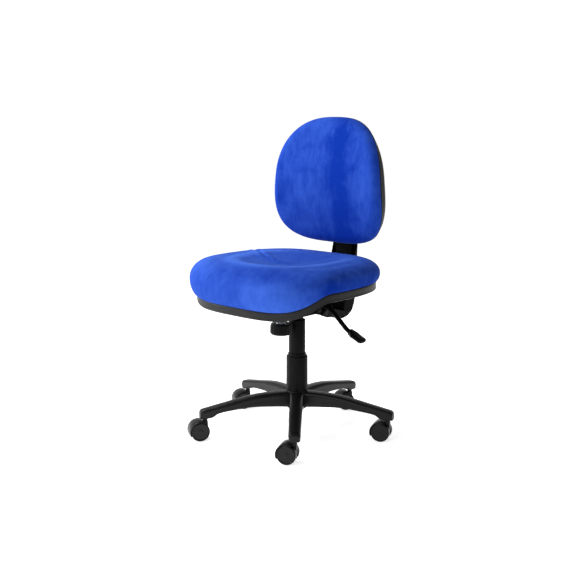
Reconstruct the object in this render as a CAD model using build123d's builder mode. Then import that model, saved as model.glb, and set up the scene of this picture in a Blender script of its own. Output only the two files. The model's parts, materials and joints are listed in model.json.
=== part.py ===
"""Swivel office chair: five-arm base on twin-wheel casters, gas lift under a three-piece cover,
tilt mechanism with a tension knob and two levers, contoured seat and height-adjustable back.

Millimetres. +Z is up, -Y is the front, +X is the sitter's left. The origin is on the floor,
on the axis of the gas lift.
"""

from math import cos, pi, radians, sin, tan
import os

from build123d import *

os.makedirs("parts", exist_ok=True)

# ---------------------------------------------------------------- driving dimensions

GAP = 0.4  # between pieces that move past each other
RUNNING = 0.05  # radial clearance of a shaft in its bore

# five-arm base
ARM_COUNT = 5
ARM_START = -49.7  # polar angle of the first arm, degrees
BASE_RADIUS = 320
STEM_CIRCLE = 302
HUB_RADIUS = 36
HUB_LOW, HUB_HIGH = 81, 137
ARM_HALF_ROOT, ARM_HALF_TIP = 24, 18.5
ARM_WALL = 4
SOCKET_FACE = 70  # underside of the boss that takes a caster stem

# casters
WHEEL_RADIUS = 30
WHEEL_WIDTH = 17
WHEEL_INNER = 8.5  # from the caster's middle plane to a wheel's inner face
TRAIL = 20
HEADINGS = (206.3, 202.7, 240, 240, 240)  # from swivel axis to axle, degrees
STEM_RADIUS = 5.5
PIVOT_RADIUS = 4  # lower end of the stem, inside the caster body
STEM_TOP = 90
NECK_TOP = 67
AXLE_RADIUS = 3

# gas lift
TUBE_RADIUS = 23
TUBE_LOW, TUBE_HIGH = 72, 244
TAPER = 0.8  # loss of the tube's radius through the hub
CYLINDER_RADIUS = 14
CYLINDER_LOW, CYLINDER_HIGH = 190, 438
ROD_RADIUS = 5
PISTON_TOP = 296
VALVE_RADIUS = 4
VALVE_TOP = 445
SLEEVE_WALL = 1.6
LOWER_SLEEVE, MIDDLE_SLEEVE, UPPER_SLEEVE = 34.5, 29.6, 26.6  # outer radii
SLEEVE_JOIN = 252  # top of the lower sleeve
MIDDLE_TOP = 262

# mechanism
SOCKET_LOW, SOCKET_HIGH = 371, 431
SOCKET_RADIUS = 20
PAN_FLOOR = 389
PAN_HALF = 57
PAN_TOP = 442
PAN_FRONT, PAN_BACK = -100, 48
SHEET = 3
TILT_Y, TILT_Z = 30, 403
PIN_RADIUS = 5
ANGLE_Y, ANGLE_Z = 57, 393
FLANGE_IN = 58
EAR_IN = 62
PLATE_LOW, PLATE_HIGH = 475, 478
PLATE_HALF = 92
PLATE_FRONT, PLATE_BACK = -98, 100
GRIP_X, GRIP_Y, GRIP_Z = 72, 66, 406  # where the angle lever turns
KNOB_Y, KNOB_LOW, KNOB_HIGH, KNOB_RADIUS = -75, 332.5, 367, 33
BOLT_X, BOLT_YS = 78, (-80, 84)
ARM_BOLT_X, ARM_BOLT_YS = 150, (-20, 70)
BOLT_HOLE, ARM_HOLE = 3.3, 3.4

# seat outline at the seam between fabric and shell
SEAM = 504
SEAM_DROP, DROP_LENGTH = 56, 133
SEAT_HALF = 266
SEAT_MIDDLE, SEAT_FRONT, SEAT_REAR = -84, 194, 278
SEAT_TAPER = 0.145
SHELL_DEPTH, SHELL_WALL = 26, 3
BOARD = 12
OVERHANG = 11
CUSHION_TOP = 562

# back
BACK_HALF, BACK_RISE = 213, 202
BACK_Y, BACK_Z = 160, 799
WRAP = 0.44e-3  # the sides come forward by this times the distance squared
LUMBAR = 0.74e-3  # the top and foot go back by this times the distance squared
BACK_TAPER = 0.086
PAD_REAR, PAD_FRONT, PANEL_THICK = 8, 34, 10  # pad behind and ahead of the sheet
LEAN = 3
BAR_HALF, BAR_THICK = 25, 8
BAR_Y, BAR_TOP = 245, 790  # middle of the upright at UPRIGHT_Z
UPRIGHT_Z = 600
COVER_HALF, COVER_THICK, COVER_TOP = 41, 26, 622
POCKET_Y = 269  # rear face of the shell's middle pocket
SLEEVE_LOW, SLEEVE_TALL = 660, 110
SLEEVE_HALF, SLEEVE_DEPTH = 32, 10  # outer half width and half depth of the ratchet sleeve
CHANNEL_HALF = 46

STEPS = 24  # points on half of a rounded outline


def save(builder, name):
    """Labels a finished piece and writes its STEP file."""
    builder.part.label = name
    export_step(builder.part, f"parts/{name}.step")


def polar(radius, angle):
    """Point on a circle about the lift axis, angle in degrees."""
    return radius * cos(radians(angle)), radius * sin(radians(angle))


def power(value, exponent):
    """Signed power, for superellipses."""
    return (1 if value >= 0 else -1) * abs(value) ** exponent


def seat_point(angle, grow=0.0):
    """Point of the seat outline, grown outwards, angle in radians."""
    depth, bend = (SEAT_FRONT, 2.88) if sin(angle) < 0 else (SEAT_REAR, 3.76)
    rear = max(0.0, sin(angle))
    across = (SEAT_HALF * (1 - SEAT_TAPER * power(rear, 4 / bend)) + grow) * power(cos(angle), 2 / bend)
    return across, SEAT_MIDDLE + (depth + grow) * power(sin(angle), 2 / bend)


def seam_height(y):
    """Height of the seat seam, which dips towards the front edge."""
    u = min(1.0, max(0.0, (SEAT_MIDDLE - SEAT_FRONT + DROP_LENGTH - y) / DROP_LENGTH))
    return SEAM - SEAM_DROP * u * u * (3 - 2 * u)


def back_point(angle, grow=0.0):
    """Point of the back outline seen from the front, angle in radians."""
    bend = 2.64 if sin(angle) > 0 else 3.25
    rise = power(sin(angle), 2 / bend)
    across = (BACK_HALF + grow) * power(cos(angle), 2 / bend) * (1 - BACK_TAPER * rise)
    return across, BACK_Z + (BACK_RISE + grow) * rise


def upright_y(z):
    """Middle of the leaning upright at a height."""
    return BAR_Y + (z - UPRIGHT_Z) * tan(radians(LEAN))


def outline(point, grow=0.0):
    """Closed smooth outline through the points of a formula, for use in a BuildLine."""
    turns = [2 * pi * i / (2 * STEPS) + pi / (4 * STEPS) for i in range(2 * STEPS)]
    return Spline([point(turn, grow) for turn in turns], periodic=True)


def seat_slab(grow, bottom, top):
    """Solid with the seat's outline between two side-view curves, each a function of y."""
    front, rear = SEAT_MIDDLE - SEAT_FRONT - 40, SEAT_MIDDLE + SEAT_REAR + 40
    ys = [front + (rear - front) * i / 40 for i in range(41)]
    with BuildPart() as slab:
        with BuildSketch(Plane.YZ):
            with BuildLine():
                low = Spline([(y, bottom(y)) for y in ys])
                high = Spline([(y, top(y)) for y in ys])
                Line(low @ 0, high @ 0)
                Line(low @ 1, high @ 1)
            make_face()
        extrude(amount=400, both=True)
        with BuildSketch(Plane.XY.offset(350)):
            with BuildLine():
                outline(seat_point, grow)
            make_face()
        extrude(amount=350, mode=Mode.INTERSECT)
    return slab.part


def back_surface(u, v, forward):
    """Y of the back's curved sheet at u across and v above its middle."""
    return BACK_Y - WRAP * u * u + LUMBAR * v * v - forward


def back_slab(grow, near, far):
    """Solid with the back's outline between two copies of its curved sheet."""
    with BuildPart() as slab:
        for v in (-260, -130, 0, 130, 260):
            with BuildSketch(Plane.XY.offset(BACK_Z + v)):
                with BuildLine():
                    us = (-260, -130, 0, 130, 260)
                    rear = Spline([(u, back_surface(u, v, near)) for u in us])
                    ahead = Spline([(u, back_surface(u, v, far)) for u in us])
                    Line(rear @ 0, ahead @ 0)
                    Line(rear @ 1, ahead @ 1)
                make_face()
        loft()
        with BuildSketch(Plane.XZ.offset(-600)):
            with BuildLine():
                outline(back_point, grow)
            make_face()
        extrude(amount=1200, mode=Mode.INTERSECT)
    return slab.part


# ---------------------------------------------------------------- five-arm base

with BuildPart() as arm:
    with BuildSketch(Plane.XZ):
        with BuildLine():
            ridge = Spline((20, 136), (90, 134.5), (153, 129), (235, 113), (308, 97))
            Polyline(ridge @ 1, (BASE_RADIUS, 88), (BASE_RADIUS, SOCKET_FACE), (284, SOCKET_FACE), (276, 80))
            belly = Spline((276, 80), (215, 90), (150, 95), (80, 91), (20, 86))
            Line(belly @ 1, ridge @ 0)
        make_face()
    extrude(amount=60, both=True)
    with BuildSketch(Plane.XY):
        Polygon(
            (20, ARM_HALF_ROOT + 1),
            (20, -ARM_HALF_ROOT - 1),
            (60, 2 - ARM_HALF_ROOT),
            (BASE_RADIUS, -ARM_HALF_TIP),
            (BASE_RADIUS, ARM_HALF_TIP),
            (60, ARM_HALF_ROOT - 2),
            align=None,
        )
    extrude(amount=200, mode=Mode.INTERSECT)
    fillet(arm.edges().filter_by(Axis.Z).group_by(Axis.X)[-1], radius=7)

with BuildPart() as pocket:
    with BuildSketch(Plane.XZ):
        with BuildLine():
            roof = Spline((44, 131), (110, 129), (153, 125), (235, 108), (278, 98))
            Polyline(roof @ 1, (278, 60), (44, 60), roof @ 0)
        make_face()
    extrude(amount=ARM_HALF_TIP - ARM_WALL, both=True)

with BuildPart() as star_base:
    with PolarLocations(0, ARM_COUNT, start_angle=ARM_START):
        add(arm.part)
    with Locations((0, 0, HUB_LOW)):
        Cylinder(HUB_RADIUS, HUB_HIGH - HUB_LOW, align=(Align.CENTER, Align.CENTER, Align.MIN))
    with PolarLocations(0, ARM_COUNT, start_angle=ARM_START):
        add(pocket.part, mode=Mode.SUBTRACT)
    with PolarLocations(STEM_CIRCLE, ARM_COUNT, start_angle=ARM_START):
        with Locations((0, 0, SOCKET_FACE)):
            Cylinder(
                STEM_RADIUS,
                STEM_TOP - SOCKET_FACE,
                align=(Align.CENTER, Align.CENTER, Align.MIN),
                mode=Mode.SUBTRACT,
            )
    with BuildSketch(Plane.XY.offset(HUB_LOW)):
        Circle(TUBE_RADIUS - TAPER)
    with BuildSketch(Plane.XY.offset(HUB_HIGH)):
        Circle(TUBE_RADIUS)
    loft(mode=Mode.SUBTRACT)
save(star_base, "star_base")

# ---------------------------------------------------------------- gas lift


def turned(name, points):
    """Piece turned about the lift axis from a profile of radius and height."""
    with BuildPart() as piece:
        with BuildSketch(Plane.XZ):
            Polygon(*points, align=None)
        revolve(axis=Axis.Z)
    save(piece, name)


turned(
    "lift_tube",
    [
        (ROD_RADIUS + 1, TUBE_LOW),
        (TUBE_RADIUS - TAPER, TUBE_LOW),
        (TUBE_RADIUS - TAPER, HUB_LOW),
        (TUBE_RADIUS, HUB_HIGH),
        (TUBE_RADIUS, TUBE_HIGH),
        (TUBE_RADIUS - 1.5, TUBE_HIGH),
        (TUBE_RADIUS - 1.5, HUB_HIGH),
        (TUBE_RADIUS - TAPER - 1.5, TUBE_LOW + 3),
        (ROD_RADIUS + 1, TUBE_LOW + 3),
    ],
)
turned(
    "guide_bush",
    [
        (CYLINDER_RADIUS + RUNNING, 165),
        (TUBE_RADIUS - 1.5, 165),
        (TUBE_RADIUS - 1.5, TUBE_HIGH),
        (TUBE_RADIUS, TUBE_HIGH),
        (TUBE_RADIUS, TUBE_HIGH + 2),
        (CYLINDER_RADIUS + RUNNING, TUBE_HIGH + 2),
    ],
)
turned(
    "piston_rod",
    [
        (0, TUBE_LOW - 4),
        (ROD_RADIUS - 1, TUBE_LOW - 4),
        (ROD_RADIUS - 1, TUBE_LOW - 1),
        (ROD_RADIUS, TUBE_LOW - 1),
        (ROD_RADIUS, PISTON_TOP - 8),
        (CYLINDER_RADIUS - 2 - RUNNING, PISTON_TOP - 8),
        (CYLINDER_RADIUS - 2 - RUNNING, PISTON_TOP),
        (0, PISTON_TOP),
    ],
)
turned(
    "thrust_bearing",
    [(ROD_RADIUS, TUBE_LOW + 3 + GAP), (12, TUBE_LOW + 3 + GAP), (12, 83), (ROD_RADIUS, 83)],
)
turned(
    "retaining_clip",
    [
        (ROD_RADIUS - 1, TUBE_LOW - 2.6),
        (9, TUBE_LOW - 2.6),
        (9, TUBE_LOW - 1),
        (ROD_RADIUS - 1, TUBE_LOW - 1),
    ],
)
turned(
    "pressure_cylinder",
    [
        (ROD_RADIUS + RUNNING, CYLINDER_LOW),
        (CYLINDER_RADIUS, CYLINDER_LOW),
        (CYLINDER_RADIUS, SOCKET_LOW),
        (CYLINDER_RADIUS - 1, CYLINDER_HIGH),
        (VALVE_RADIUS + RUNNING, CYLINDER_HIGH),
        (VALVE_RADIUS + RUNNING, CYLINDER_HIGH - 20),
        (CYLINDER_RADIUS - 3, CYLINDER_HIGH - 22),
        (CYLINDER_RADIUS - 2, CYLINDER_HIGH - 24),
        (CYLINDER_RADIUS - 2, CYLINDER_LOW + 8),
        (ROD_RADIUS + RUNNING, CYLINDER_LOW + 6),
    ],
)
turned(
    "valve_pin",
    [(0, CYLINDER_HIGH - 18), (VALVE_RADIUS, CYLINDER_HIGH - 18), (VALVE_RADIUS, VALVE_TOP), (0, VALVE_TOP)],
)


def sleeve(name, outer, low, high, lip):
    """One telescoping sleeve, with an inward lip at its top."""
    inner = outer - SLEEVE_WALL
    turned(
        name,
        [(inner, low), (outer, low), (outer, high - 3), (outer - 3, high), (lip, high), (inner, high - 4)],
    )


sleeve("cover_lower", LOWER_SLEEVE, HUB_HIGH, SLEEVE_JOIN, MIDDLE_SLEEVE + GAP)
sleeve("cover_middle", MIDDLE_SLEEVE, 188, MIDDLE_TOP, UPPER_SLEEVE + GAP)
turned(
    "cover_upper",
    [
        (UPPER_SLEEVE - SLEEVE_WALL, 240),
        (UPPER_SLEEVE, 240),
        (UPPER_SLEEVE, 368),
        (UPPER_SLEEVE - 2, 370),
        (CYLINDER_RADIUS, 370),
        (CYLINDER_RADIUS, 368),
        (UPPER_SLEEVE - SLEEVE_WALL, 368),
    ],
)

# ---------------------------------------------------------------- casters

with BuildPart() as caster_stems:
    for radius, low, high in (
        (STEM_RADIUS + 1.5, NECK_TOP + 0.5, SOCKET_FACE),
        (STEM_RADIUS, SOCKET_FACE, STEM_TOP),
        (PIVOT_RADIUS, 33, NECK_TOP + 0.5),
    ):
        with BuildSketch(Plane.XY.offset(low)):
            with PolarLocations(STEM_CIRCLE, ARM_COUNT, start_angle=ARM_START):
                Circle(radius)
        extrude(amount=high - low)
save(caster_stems, "caster_stems")


def caster(number):
    """Body, axle and two wheels of one caster."""
    x, y = polar(STEM_CIRCLE, ARM_START + 72 * number)
    trail = Vector(*polar(1, HEADINGS[number]), 0)
    side = Plane(origin=(x, y, 0), x_dir=trail, z_dir=trail.cross(Vector(0, 0, 1)))
    hub = Plane(
        origin=(x + TRAIL * trail.X, y + TRAIL * trail.Y, WHEEL_RADIUS),
        x_dir=trail,
        z_dir=trail.cross(Vector(0, 0, 1)),
    )
    reach = WHEEL_INNER + WHEEL_WIDTH
    with BuildPart() as body:
        with BuildSketch(hub):
            Circle(WHEEL_RADIUS + 3.5)
            with Locations((0, -12)):
                Rectangle(100, 60, align=(Align.CENTER, Align.MAX), mode=Mode.SUBTRACT)
            with Locations((-10, -20)):
                Rectangle(60, 80, align=(Align.MAX, Align.MIN), mode=Mode.SUBTRACT)
        extrude(amount=reach, both=True)
        with BuildSketch(hub):
            Circle(WHEEL_RADIUS + GAP)
        extrude(amount=reach, both=True, mode=Mode.SUBTRACT)
        with BuildSketch(hub):
            Circle(16)
            with Locations((-TRAIL, NECK_TOP - WHEEL_RADIUS)):
                Rectangle(15, 45, align=(Align.CENTER, Align.MAX))
            Polygon((-TRAIL, -8), (0, -16), (12, 10), (12, 30), (-TRAIL, 30), align=None)
        extrude(amount=WHEEL_INNER - GAP, both=True)
        with BuildSketch(Plane(origin=(x, y, 30))):
            Circle(PIVOT_RADIUS + RUNNING)
        extrude(amount=60, mode=Mode.SUBTRACT)
        with BuildSketch(hub):
            Circle(AXLE_RADIUS)
        extrude(amount=reach, both=True, mode=Mode.SUBTRACT)
    save(body, f"caster_body_{number + 1}")
    with BuildPart() as axle:
        with BuildSketch(hub):
            Circle(AXLE_RADIUS)
        extrude(amount=reach - 3, both=True)
    save(axle, f"caster_axle_{number + 1}")
    for label, sign in (("left", 1), ("right", -1)):
        with BuildPart() as wheel:
            with BuildSketch(hub.offset(sign * WHEEL_INNER)):
                Circle(WHEEL_RADIUS)
            extrude(amount=sign * WHEEL_WIDTH)
            chamfer(wheel.edges(), length=2)
            with BuildSketch(hub.offset(sign * WHEEL_INNER)):
                Circle(AXLE_RADIUS + RUNNING)
            extrude(amount=sign * (WHEEL_WIDTH - 2), mode=Mode.SUBTRACT)
        save(wheel, f"wheel_{label}_{number + 1}")


for index in range(ARM_COUNT):
    caster(index)

# ---------------------------------------------------------------- mechanism

with BuildPart() as mechanism_pan:
    with BuildSketch(Plane.YZ):
        Polygon(
            (PAN_FRONT, PAN_FLOOR),
            (PAN_BACK, PAN_FLOOR),
            (PAN_BACK, PAN_TOP),
            (-20, PAN_TOP),
            (PAN_FRONT, PAN_FLOOR + 22),
            align=None,
        )
    extrude(amount=PAN_HALF, both=True)
    with BuildSketch(Plane.XY.offset(PAN_FLOOR + SHEET)):
        with Locations((0, (PAN_FRONT + PAN_BACK) / 2)):
            Rectangle(2 * (PAN_HALF - SHEET), PAN_BACK - PAN_FRONT - 2 * SHEET)
    extrude(amount=100, mode=Mode.SUBTRACT)
    with BuildSketch(Plane.XY.offset(SOCKET_LOW)):
        Circle(SOCKET_RADIUS)
    extrude(amount=SOCKET_HIGH - SOCKET_LOW)
    with BuildSketch(Plane.XY.offset(SOCKET_LOW)):
        Circle(CYLINDER_RADIUS)
    with BuildSketch(Plane.XY.offset(CYLINDER_HIGH)):
        Circle(CYLINDER_RADIUS - 1)
    loft(mode=Mode.SUBTRACT)
    with BuildSketch(Plane(origin=(0, KNOB_Y, PAN_FLOOR - 1))):
        SlotOverall(24, 16, rotation=90)
    extrude(amount=SHEET + 2, mode=Mode.SUBTRACT)
    with BuildSketch(Plane.YZ):
        with Locations((TILT_Y, TILT_Z)):
            Circle(PIN_RADIUS + RUNNING)
    extrude(amount=PAN_HALF + 1, both=True, mode=Mode.SUBTRACT)
save(mechanism_pan, "mechanism_pan")

LEVER_X = 47  # of the height lever's pivot, on the sitter's right
LEVER_Z = 449

with BuildPart() as lever_bracket:
    with BuildSketch(Plane(origin=(-LEVER_X - 4, 0, PAN_TOP - 14))):
        with GridLocations(0, 16, 1, 2):
            Rectangle(6, SHEET)
    extrude(amount=LEVER_Z + 6 - PAN_TOP + 14)
    with BuildSketch(Plane(origin=(-LEVER_X - 4, 0, PAN_TOP - 16))):
        Rectangle(6, 16 + SHEET)
    extrude(amount=4)
    with BuildSketch(Plane.XZ.offset(-12)):
        with Locations((-LEVER_X - 4, LEVER_Z)):
            Circle(1.5)
    extrude(amount=24)
save(lever_bracket, "lever_bracket")

with BuildPart() as seat_plate:
    with BuildSketch(Plane.XY.offset(PLATE_LOW)):
        with Locations((0, (PLATE_FRONT + PLATE_BACK) / 2)):
            RectangleRounded(2 * PLATE_HALF, PLATE_BACK - PLATE_FRONT, 12)
        with Locations((0, 0)):
            Circle(22, mode=Mode.SUBTRACT)
        with Locations([(sx * BOLT_X, y) for sx in (-1, 1) for y in BOLT_YS]):
            Circle(BOLT_HOLE, mode=Mode.SUBTRACT)
    extrude(amount=PLATE_HIGH - PLATE_LOW)
    for sign in (-1, 1):
        with BuildSketch(Plane.YZ.offset(sign * FLANGE_IN)):
            Polygon(
                (16, PLATE_LOW),
                (20, 392),
                (34, 388),
                (50, 380),
                (66, 383),
                (74, 400),
                (90, PLATE_LOW),
                align=None,
            )
            with Locations((TILT_Y, TILT_Z), (ANGLE_Y, ANGLE_Z)):
                Circle(PIN_RADIUS, mode=Mode.SUBTRACT)
        extrude(amount=sign * SHEET)
    with BuildSketch(Plane.XY.offset(GRIP_Z + 1)):
        with Locations((FLANGE_IN + 12, GRIP_Y - 9), (FLANGE_IN + 12, GRIP_Y + 9)):
            Rectangle(20, 2.5)
    extrude(amount=8)
    with BuildSketch(Plane.XZ.offset(-GRIP_Y - 10)):
        with Locations((GRIP_X + 2, GRIP_Z + 3)):
            Circle(2)
    extrude(amount=20)
    with BuildSketch(Plane.XZ.offset(-KNOB_Y - 12)):
        Polygon((-12, PLATE_LOW), (-12, 460), (12, 460), (12, PLATE_LOW), align=None)
    extrude(amount=24)
    with BuildSketch(Plane(origin=(0, KNOB_Y, 455))):
        Circle(PIN_RADIUS)
    extrude(amount=40, mode=Mode.SUBTRACT)
save(seat_plate, "seat_plate")


def cross_pin(name, y, z, reach, head, head_from):
    """Shaft across the mechanism with a round head at each end."""
    with BuildPart() as pin:
        with BuildSketch(Plane.YZ):
            with Locations((y, z)):
                Circle(PIN_RADIUS)
        extrude(amount=reach, both=True)
        for sign in (-1, 1):
            with BuildSketch(Plane.YZ.offset(sign * head_from)):
                with Locations((y, z)):
                    Circle(head)
            extrude(amount=sign * (reach - head_from))
        chamfer(pin.faces().sort_by(Axis.X)[0].edges(), length=1)
        chamfer(pin.faces().sort_by(Axis.X)[-1].edges(), length=1)
    save(pin, name)


cross_pin("tilt_shaft", TILT_Y, TILT_Z, 72, 7, FLANGE_IN + SHEET)
cross_pin("angle_shaft", ANGLE_Y, ANGLE_Z, 76, 8.5, EAR_IN + 4 + GAP)

with BuildPart() as draw_bolt:
    with BuildSketch(Plane(origin=(0, KNOB_Y, 338))):
        Circle(PIN_RADIUS)
    extrude(amount=PLATE_LOW - 338)
save(draw_bolt, "draw_bolt")

with BuildPart() as tension_knob:
    with BuildSketch(Plane(origin=(0, KNOB_Y, KNOB_LOW))):
        Circle(KNOB_RADIUS - 3)
    with BuildSketch(Plane(origin=(0, KNOB_Y, KNOB_LOW + 4))):
        Circle(KNOB_RADIUS + 0.5)
    with BuildSketch(Plane(origin=(0, KNOB_Y, KNOB_HIGH))):
        Circle(KNOB_RADIUS - 1)
    loft(ruled=True)
    with BuildSketch(Plane(origin=(0, KNOB_Y, KNOB_LOW + 5))):
        with PolarLocations(KNOB_RADIUS - 0.4, 24):
            Circle(1.6)
    extrude(amount=KNOB_HIGH - KNOB_LOW - 6)
    with BuildSketch(Plane(origin=(0, KNOB_Y, KNOB_LOW + 10))):
        Circle(21)
    extrude(amount=60, mode=Mode.SUBTRACT)
    with BuildSketch(Plane(origin=(0, KNOB_Y, KNOB_LOW + 5))):
        Circle(PIN_RADIUS + RUNNING)
    extrude(amount=60, mode=Mode.SUBTRACT)
save(tension_knob, "tension_knob")

with BuildPart() as tilt_spring:
    with BuildLine(Plane(origin=(0, KNOB_Y, KNOB_LOW + 10 + 2.6))):
        coil = Helix(pitch=9, height=41, radius=15)
    with BuildSketch(Plane(origin=coil @ 0, z_dir=coil % 0)):
        Circle(2.4)
    sweep(is_frenet=True)
save(tilt_spring, "tilt_spring")

with BuildPart() as height_bar:
    with BuildLine(Plane.XZ):
        FilletPolyline((4, LEVER_Z), (-70, LEVER_Z), (-128, 402), (-150, 392), radius=14)
    with BuildSketch(Plane.YZ.offset(4)):
        with Locations((0, LEVER_Z)):
            Circle(4.5)
    sweep()
    with BuildSketch(Plane.XZ.offset(-8)):
        with Locations((-LEVER_X - 4, LEVER_Z)):
            Circle(1.5 + RUNNING)
    extrude(amount=16, mode=Mode.SUBTRACT)
    with BuildSketch(Plane.XY.offset(VALVE_TOP + GAP)):
        Rectangle(20, 20)
    extrude(amount=-20, mode=Mode.SUBTRACT)
save(height_bar, "height_bar")


def paddle(name, start, tip, width, thick):
    """Flat plastic grip on a lever bar, from start to tip in the XZ plane."""
    along = Vector(tip[0] - start[0], 0, tip[1] - start[1])
    with BuildPart() as grip:
        with BuildSketch(Plane(origin=(start[0], start[2], start[1]), x_dir=(0, 1, 0), z_dir=along)):
            SlotOverall(width, thick)
        extrude(amount=along.length)
    save(grip, name)


paddle("height_paddle", (-150, 392, 0), (-194, 372), 26, 9)

with BuildPart() as angle_bar:
    with BuildLine(Plane.XZ.offset(-GRIP_Y)):
        FilletPolyline((68, GRIP_Z + 6), (84, GRIP_Z - 2), (150, 346), (176, 334), radius=12)
    with BuildSketch(Plane(origin=(68, GRIP_Y, GRIP_Z + 6), z_dir=(16, 0, -8))):
        Circle(6.5)
    sweep()
    with BuildSketch(Plane.XZ.offset(-GRIP_Y - 8)):
        with Locations((GRIP_X + 2, GRIP_Z + 3)):
            Circle(2 + RUNNING)
    extrude(amount=16, mode=Mode.SUBTRACT)
save(angle_bar, "angle_bar")
paddle("angle_paddle", (176, 334, GRIP_Y), (206, 320.15), 30, 11)

# ---------------------------------------------------------------- back bar and its cover

with BuildPart() as back_bracket:
    for sign in (-1, 1):
        with BuildSketch(Plane.YZ.offset(sign * EAR_IN)):
            Polygon((46, 400), (50, 380), (70, 372), (170, 362), (170, 376), (100, 396), (62, 402), align=None)
            with Locations((ANGLE_Y, ANGLE_Z)):
                Circle(PIN_RADIUS + RUNNING, mode=Mode.SUBTRACT)
        extrude(amount=sign * 4)
    with BuildSketch(Plane.XY.offset(364)):
        with Locations((0, 140)):
            Rectangle(2 * EAR_IN, 56)
        with Locations((0, 125), (0, 155)):
            Circle(BOLT_HOLE, mode=Mode.SUBTRACT)
    extrude(amount=4)
save(back_bracket, "back_bracket")

with BuildPart() as back_bar:
    with BuildLine(Plane.YZ):
        FilletPolyline(
            (115, 368 + BAR_THICK / 2),
            (upright_y(372), 372),
            (upright_y(BAR_TOP), BAR_TOP),
            radius=42,
        )
    with BuildSketch(Plane.XZ.offset(-115)):
        with Locations((0, 368 + BAR_THICK / 2)):
            Rectangle(2 * BAR_HALF, BAR_THICK)
    sweep()
    with BuildSketch(Plane.XY.offset(360)):
        with Locations((0, 125), (0, 155)):
            Circle(BOLT_HOLE)
    extrude(amount=20, mode=Mode.SUBTRACT)
save(back_bar, "back_bar")

with BuildPart() as bar_bolts:
    with Locations((0, 125, 376), (0, 155, 376)):
        Cylinder(6, 4, align=(Align.CENTER, Align.CENTER, Align.MIN))
        Cylinder(BOLT_HOLE, 18, align=(Align.CENTER, Align.CENTER, Align.MAX))
save(bar_bolts, "bar_bolts")

with BuildPart() as bar_cover:
    with BuildSketch(Plane.YZ):
        Polygon(
            (178, 348),
            (205, 352),
            (228, 366),
            (242, 392),
            (upright_y(430) + COVER_THICK / 2, 430),
            (upright_y(COVER_TOP) + COVER_THICK / 2, COVER_TOP),
            (upright_y(COVER_TOP) - COVER_THICK / 2, COVER_TOP),
            (upright_y(460) - COVER_THICK / 2, 460),
            (212, 434),
            (178, 420),
            align=None,
        )
    extrude(amount=COVER_HALF, both=True)
    chamfer(bar_cover.faces().filter_by(Axis.X).edges().filter_by(lambda edge: edge.length < 200), length=1.5)
    with BuildSketch(Plane.YZ):
        Polygon(
            (150, 352),
            (206, 356),
            (225, 368),
            (238.5, 393),
            (upright_y(430) + COVER_THICK / 2 - 3, 430),
            (upright_y(700) + COVER_THICK / 2 - 3, 700),
            (upright_y(700) - COVER_THICK / 2 + 3, 700),
            (upright_y(460) - COVER_THICK / 2 + 3, 460),
            (214, 431),
            (150, 405),
            align=None,
        )
    extrude(amount=COVER_HALF - 3, both=True, mode=Mode.SUBTRACT)
save(bar_cover, "bar_cover")

# ---------------------------------------------------------------- seat


def under(depth):
    """Curve that runs a depth below the seam."""
    return lambda y: seam_height(y) - depth


with BuildPart() as seat_shell:
    add(seat_slab(-1, under(SHELL_DEPTH), under(0)))
    add(seat_slab(-1 - SHELL_WALL, under(SHELL_DEPTH - SHELL_WALL), under(-60)), mode=Mode.SUBTRACT)
    with BuildSketch(Plane.XY.offset(400)):
        with Locations([(sx * BOLT_X, y) for sx in (-1, 1) for y in BOLT_YS]):
            Circle(BOLT_HOLE + 0.5)
        with Locations([(sx * ARM_BOLT_X, y) for sx in (-1, 1) for y in ARM_BOLT_YS]):
            Circle(ARM_HOLE + 2)
    extrude(amount=90, mode=Mode.SUBTRACT)
save(seat_shell, "seat_shell")

BOARD_LOW = SHELL_DEPTH - SHELL_WALL

with BuildPart() as seat_board:
    add(seat_slab(-10, under(BOARD_LOW), under(BOARD_LOW - BOARD)))
    with BuildSketch(Plane.XY.offset(400)):
        with Locations([(sx * BOLT_X, y) for sx in (-1, 1) for y in BOLT_YS]):
            Circle(BOLT_HOLE)
        with Locations([(sx * ARM_BOLT_X, y) for sx in (-1, 1) for y in ARM_BOLT_YS]):
            Circle(ARM_HOLE + 1.6)
    extrude(amount=120, mode=Mode.SUBTRACT)
save(seat_board, "seat_board")

BOARD_TOP = SEAM - BOARD_LOW + BOARD

with BuildPart() as arm_nuts:
    with Locations([(sx * ARM_BOLT_X, y, SEAM - BOARD_LOW) for sx in (-1, 1) for y in ARM_BOLT_YS]):
        Cylinder(ARM_HOLE + 1.6, BOARD, align=(Align.CENTER, Align.CENTER, Align.MIN))
        Cylinder(ARM_HOLE, 200, mode=Mode.SUBTRACT)
save(arm_nuts, "armrest_nuts")

with BuildPart() as seat_bolts:
    with Locations([(sx * BOLT_X, y, PLATE_LOW) for sx in (-1, 1) for y in BOLT_YS]):
        Cylinder(6, 4, align=(Align.CENTER, Align.CENTER, Align.MAX))
        Cylinder(BOLT_HOLE, BOARD_TOP - PLATE_LOW, align=(Align.CENTER, Align.CENTER, Align.MIN))
save(seat_bolts, "seat_bolts")


def cushion_top(y):
    """Height of the cushion: a crest near the front, a dished seat, a rounded front edge."""
    front = SEAT_MIDDLE - SEAT_FRONT - OVERHANG
    drop = max(0.0, 1 - (y - front) / 90) ** 2.2
    dish = 9 * sin(pi * min(1.0, max(0.0, (y - front - 90) / 330)))
    return CUSHION_TOP + 4 - dish - 62 * drop


with BuildPart() as seat_cushion:
    add(seat_slab(OVERHANG, under(-1), cushion_top))
    fillet(seat_cushion.faces().sort_by(Axis.Z)[-1].edges(), radius=14)
    add(seat_slab(-6, under(BOARD_LOW - BOARD - 0.3), under(-2)))
save(seat_cushion, "seat_cushion")

# ---------------------------------------------------------------- back

with BuildPart() as back_pad:
    add(back_slab(0, -PAD_REAR, PAD_FRONT))
    fillet(back_pad.faces().sort_by(Axis.Y)[0].edges(), radius=12)
save(back_pad, "back_pad")

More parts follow.
